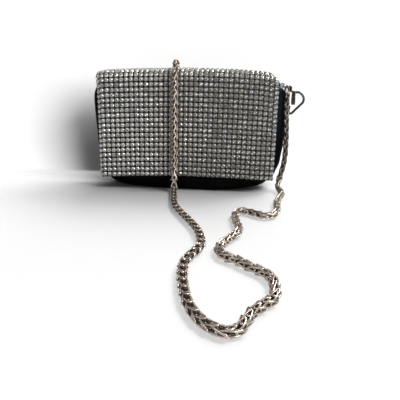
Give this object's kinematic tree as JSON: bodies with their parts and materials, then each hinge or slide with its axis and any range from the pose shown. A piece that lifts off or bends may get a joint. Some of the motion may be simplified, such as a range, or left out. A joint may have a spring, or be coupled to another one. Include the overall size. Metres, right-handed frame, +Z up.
{
  "type": "clutch bag",
  "caption": "Soft satin clutch bag with a rhinestone-mesh flap folded over the front and a wheat-chain strap laid out on the table.",
  "frame": {"origin": "middle of the flat underside of the pouch, on the table", "axes": "+X along the bag's width, to the right seen from the front; +Y from the front to the back; +Z up"},
  "size_m": [0.2259, 0.346, 0.1332],
  "materials": {
    "satin": "navy-black satin",
    "ribbon": "pale blue-grey ribbed ribbon",
    "rhinestone_mesh": "clear faceted stones in small metal cups on a dark ground",
    "chain_metal": "warm nickel plate, polished, slightly worn",
    "fitting_metal": "polished nickel plate",
    "clasp_metal": "gunmetal plate"
  },
  "bodies": {
    "bag": {"body_shell": "satin", "flap_panel": "rhinestone_mesh", "chain": "chain_metal", "right_tab": "ribbon", "right_ring": "fitting_metal", "clasp_hook": "clasp_metal", "left_tab": "ribbon", "left_ring": "fitting_metal", "left_clasp": "clasp_metal"},
    "lever": {"clasp_lever": "clasp_metal"}
  },
  "joints": [
    {"name": "lever_hinge", "type": "hinge", "parent": "bag", "child": "lever", "pos_m": [0.1112, 0.0003, 0.0987], "axis": [0, -1, 0], "range_deg": [0, 30], "stiffness_Nm_per_rad": 0.01, "springref_deg": -17.19}
  ]
}
